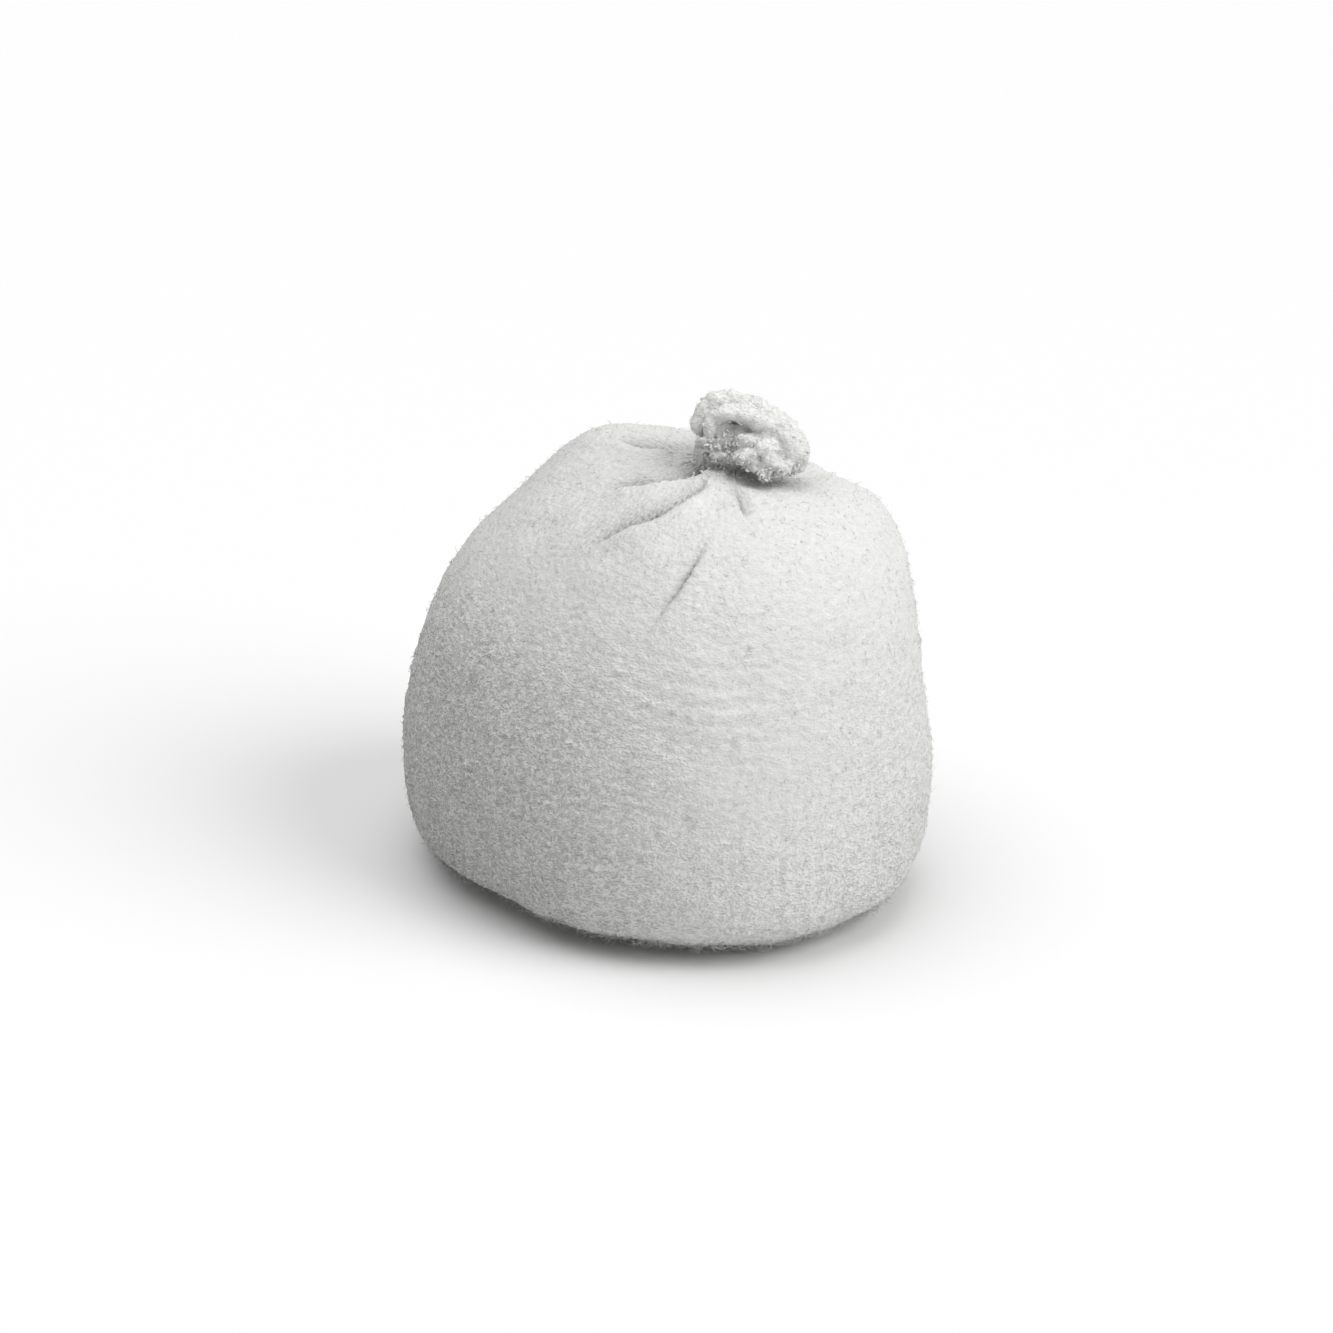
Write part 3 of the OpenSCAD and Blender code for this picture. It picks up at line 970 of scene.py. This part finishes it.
# Scale of the pile's noise on each axis, which makes its tufts wider than they are high
PILE_STRETCH = (0.75, 0.75, 1.15)
# Extra relief by place: where it starts and ends on X or Z, in millimetres, and its value there; it
# sets both the bump and the painted shade between the tufts. WALL fades all three out towards the crown
LEFT_PILE = (-34, 10, 4.0, 0.0)
RIGHT_PILE = (14, 34, 0.0, 0.8)
LOW_PILE = (4, 28, 1.1, 0.0)
WALL = (27, 48, 1.0, 0.0)
LEAST_PILE = 0.55
# Size of the tufts over that of the grain, and how the relief becomes a tone from 0 to 1, darker where
# it is low: painted shade between the tufts, with the pile's random tone
TUFT_RATIO = 2.6
TONE_GAIN, TONE_MEAN = 1.5, 0.5


def terry(name, dark, light, grain=0.3, depth=0.22, uneven=True):
    """Matted pile whose colour follows its relief: the gaps between the tufts are darker, partly painted
    shade and partly the pile's random tone; the left side is more loopy, so its gaps get more of it. The
    shade attribute adds further painted shade.
    """
    mat, tree, shader = material(name, roughness=0.95, sheen=0.15)
    mm = millimetres(tree, PILE_STRETCH)
    fine = noise_of(tree, mm, grain, detail=1, rough=0.5)
    tuft = noise_of(tree, mm, grain * TUFT_RATIO, detail=2, rough=0.6)
    height = maths(tree, "SUBTRACT", maths(tree, "ADD", fine, tuft), 1.0)
    if uneven:
        split = add(tree, "ShaderNodeSeparateXYZ")
        tree.links.new(millimetres(tree), split.inputs[0])
        left = mapped(tree, split.outputs["X"], *LEFT_PILE)
        right = mapped(tree, split.outputs["X"], *RIGHT_PILE)
        low = mapped(tree, split.outputs["Z"], *LOW_PILE)
        wall = mapped(tree, split.outputs["Z"], *WALL)
        extra = maths(tree, "ADD", maths(tree, "ADD", left, right), low)
        height = maths(tree, "MULTIPLY", height, maths(tree, "MULTIPLY_ADD", extra, wall, LEAST_PILE))
    tone = maths(tree, "MULTIPLY_ADD", height, TONE_GAIN, TONE_MEAN)
    colour = ramp(tree, tone, dark, light, 0.0, 1.0)
    # Painted shade from the mesh's shade attribute: in the folds, in the gaps between the neck's beads and in
    # the knot's hollows
    shade = add(tree, "ShaderNodeAttribute", attribute_name="shade")
    mix = add(tree, "ShaderNodeMix", data_type="RGBA", blend_type="MIX")
    tree.links.new(shade.outputs["Fac"], mix.inputs["Factor"])
    tree.links.new(colour, mix.inputs[MIX_A])
    mix.inputs[MIX_B].default_value = (*SHADE, 1)
    tree.links.new(mix.outputs[MIX_RESULT], shader.inputs["Base Color"])
    bumped(tree, shader, height, depth)
    return mat


# About how far apart the Wave texture's bands are at scale 1
WAVE_UNIT = 0.32


def woven(name, dark, light, pitch=0.5):
    """Plain weave: two crossed sets of ridges."""
    mat, tree, shader = material(name, roughness=0.9, sheen=0.1)
    mm = millimetres(tree)
    waves = []
    for direction in ("X", "Z"):
        wave = add(tree, "ShaderNodeTexWave", bands_direction=direction,
                   Scale=WAVE_UNIT / pitch, Distortion=0.6)
        tree.links.new(mm, wave.inputs["Vector"])
        waves.append(wave.outputs["Fac"])
    height = maths(tree, "MULTIPLY_ADD", waves[0], 1.0, waves[1])
    tree.links.new(ramp(tree, height, dark, light, 0.2, 1.4), shader.inputs["Base Color"])
    bumped(tree, shader, height, 0.08)
    return mat


def dried(name, dark, light, size, depth, roughness=0.85):
    """Dried plant matter or crystals: a speckle of two colours with the same relief."""
    mat, tree, shader = material(name, roughness)
    mm = millimetres(tree)
    speckle = noise_of(tree, mm, size, 5, 0.7)
    tree.links.new(ramp(tree, speckle, dark, light, 0.35, 0.65), shader.inputs["Base Color"])
    bumped(tree, shader, speckle, depth)
    return mat


def paint(ob, mat):
    ob.data.materials.clear()
    ob.data.materials.append(mat)


def paint_node(name, mat):
    ob = frame["nodes"][name]
    for slot in ob.material_slots:
        slot.material = mat


TERRY = terry("terry_white", (0.55, 0.555, 0.535), (0.735, 0.74, 0.72))
# A lighter copy of the same terry, for painted light on the knot, its root and the loose loops and fibres
LIT_TERRY = terry("terry_lit", (0.62, 0.625, 0.605), (0.78, 0.785, 0.765), grain=0.28, depth=0.18,
                   uneven=False)

# ---------------------------------------------------------------- where the pile stands up
# How many more fibres there are at the foot, and the counts of fibres and loops on each piece
FOOT_FUZZ = 9.0
COVER_HAIRS, KNOT_HAIRS = 14000, 3500
CROWN_LOOPS, NECK_LOOPS, KNOT_LOOPS = 80, 90, 300
# The crown's loops: how far to the left and front of the neck their middle is, and their reach
CROWN_LOOPS_OFF, CROWN_LOOPS_REACH = (0.5, 1.5), 3.0
# The knot's loops, in its plane: middle and spread in its recess and under it, and the share elsewhere
RECESS_AT, RECESS_SPREAD = (-3.2, -0.7), 5
UNDER_AT, UNDER_SPREAD = (2.5, -4.6), (16, 2)
ELSEWHERE = 0.02


def fuzz_weight(p):
    return 1 + FOOT_FUZZ * (p[:, 2] < FOOT_ZONE_Z)


def near_neck(p):
    """The crown just to the left and front of the neck."""
    left, front = CROWN_LOOPS_OFF
    rho = np.hypot(p[:, 0] - NECK[0] + left, p[:, 1] - NECK[1] + front)
    return np.exp(-((rho / CROWN_LOOPS_REACH) ** 2)) * (p[:, 2] > NECK_ZONE_Z)


def in_hollow(p):
    """The knot's recess and its underside, where the loops aren't matted down."""
    q = ((p - KNOT) @ KNOT_AXES.T)[:, :2]
    recess = np.exp(-((q - RECESS_AT) ** 2).sum(1) / RECESS_SPREAD)
    under = np.exp(-((q - UNDER_AT) ** 2 / UNDER_SPREAD).sum(1))
    return recess + under + ELSEWHERE


# ---------------------------------------------------------------- the pieces
cover = make_cover()
neck = make_neck()
knot = make_knot()
root = make_knot_root()
for ob in (cover, neck):
    paint(ob, TERRY)
for ob in (knot, root):
    paint(ob, LIT_TERRY)

wall = CLOTH[FOOT_RINGS:NECK_START]
wall_mesh = wall.reshape(-1, 3), grid_faces(len(wall), COLS)
neck_mesh = points_of(neck), faces_of(neck)
knot_mesh = points_of(knot), faces_of(knot)

where, normals = surface_samples(*wall_mesh, COVER_HAIRS, RNG, fuzz_weight)
fuzz = hairs("cover_fuzz", where, normals, length=0.9, radius=0.045, rng=RNG)
paint(fuzz, TERRY)
where, normals = surface_samples(*wall_mesh, CROWN_LOOPS, RNG, near_neck)
crown_loops = loops("crown_loops", where, normals, size=0.24, yarn=0.17, rng=RNG)
where, normals = surface_samples(*neck_mesh, NECK_LOOPS, RNG)
neck_loops = loops("neck_loops", where, normals, size=0.26, yarn=0.17, rng=RNG)
where, normals = surface_samples(*knot_mesh, KNOT_LOOPS, RNG, in_hollow)
knot_loops = loops("knot_loops", where, normals, size=0.3, yarn=0.14, rng=RNG)
where, normals = surface_samples(*knot_mesh, KNOT_HAIRS, RNG)
knot_fuzz = hairs("knot_fuzz", where, normals, length=0.5, radius=0.03, rng=RNG)
for ob in (crown_loops, neck_loops, knot_loops, knot_fuzz):
    paint(ob, LIT_TERRY)

for ob in (cover, fuzz, crown_loops):
    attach(ob, "pouch")
for ob in (knot, knot_loops, knot_fuzz):
    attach(ob, "knot")
for ob in (neck, neck_loops):
    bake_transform(ob)
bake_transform(root)

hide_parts("outer_cover")
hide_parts("neck_gather")
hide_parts("knot_band", "tail_ruffle", "tail_strand")

# ---------------------------------------------------------------- inside the pouch
# Woven nodes: material, dark and light colour, pitch of the weave
WOVEN = {
    "seam_thread": ("thread", (0.7, 0.7, 0.68), (0.86, 0.86, 0.84), 0.25),
    "inner_bag": ("muslin", (0.66, 0.61, 0.48), (0.82, 0.78, 0.66), 0.45),
    "bag_tie": ("string", (0.55, 0.48, 0.34), (0.72, 0.66, 0.52), 0.3),
}
# Dried nodes: material, dark and light colour, size and depth of the speckle, and the roughness of the
# crystals, which are smoother
DRIED = {
    "herb_powder": ("ground_herbs", (0.16, 0.10, 0.035), (0.38, 0.28, 0.11), 0.6, 0.3),
    "lemongrass_stems": ("lemongrass", (0.32, 0.29, 0.10), (0.60, 0.57, 0.30), 1.4, 0.15),
    "root_slices": ("dried_root", (0.42, 0.22, 0.04), (0.75, 0.50, 0.14), 1.0, 0.2),
    "peel_strips": ("citrus_peel", (0.03, 0.05, 0.012), (0.13, 0.17, 0.04), 0.8, 0.3),
    "camphor_crystals": ("camphor", (0.72, 0.75, 0.78), (0.88, 0.9, 0.92), 1.2, 0.05, 0.35),
}
for node, look in WOVEN.items():
    paint_node(node, woven(*look))
for node, look in DRIED.items():
    paint_node(node, dried(*look))

# ---------------------------------------------------------------- floor, light and camera
# Half the floor's width in metres, and the greys of the floor and of the light from all round
SPAN = 6.0
FLOOR_GREY = 0.79
WORLD_LIGHT = 0.36
floor_mesh = bpy.data.meshes.new("floor")
corners = [(-SPAN, -SPAN, 0), (SPAN, -SPAN, 0), (SPAN, SPAN, 0), (-SPAN, SPAN, 0)]
floor_mesh.from_pydata(corners, [], [[0, 1, 2, 3]])
floor = bpy.data.objects.new("floor", floor_mesh)
bpy.context.scene.collection.objects.link(floor)
floor_mat, _, floor_shader = material("pale_floor", roughness=0.9)
floor_shader.inputs["Base Color"].default_value = (FLOOR_GREY, FLOOR_GREY, FLOOR_GREY, 1)
paint(floor, floor_mat)

world = bpy.data.worlds.new("studio")
bpy.context.scene.world = world
world.use_nodes = True
world.node_tree.nodes["Background"].inputs["Color"].default_value = (1, 1, 1, 1)
world.node_tree.nodes["Background"].inputs["Strength"].default_value = WORLD_LIGHT


def sun(name, azimuth, elevation, strength, spread):
    """Soft light; degrees: azimuth (0 is the right, -90 the front), elevation over the floor, spread."""
    data = bpy.data.lights.new(name, "SUN")
    data.energy = strength
    data.angle = math.radians(spread)
    ob = bpy.data.objects.new(name, data)
    a, e = math.radians(azimuth), math.radians(elevation)
    source = Vector((math.cos(a) * math.cos(e), math.sin(a) * math.cos(e), math.sin(e)))
    ob.rotation_euler = source.to_track_quat("Z", "Y").to_euler()
    bpy.context.scene.collection.objects.link(ob)


sun("key", azimuth=-26, elevation=38, strength=1.9, spread=40)
sun("top", azimuth=180, elevation=80, strength=1.7, spread=60)

bpy.context.scene.view_settings.view_transform = "Standard"

# The camera: its height angle, its distance from the point it aims at, and its lens
CAMERA_UP = math.radians(22.5)
CAMERA_OUT = 450.0
AIM = np.array([0.55, -1.4, 29.6])
SENSOR_W, LENS = 36, 91.1
camera = bpy.data.objects.new("camera", bpy.data.cameras.new("camera"))
bpy.context.scene.collection.objects.link(camera)
camera.data.sensor_width = SENSOR_W
camera.data.lens = LENS
camera.data.clip_start = 0.01
camera.location = (AIM + CAMERA_OUT * np.array([0, -math.cos(CAMERA_UP), math.sin(CAMERA_UP)])) * MM
camera.rotation_euler = (math.pi / 2 - CAMERA_UP, 0, 0)
bpy.context.scene.camera = camera
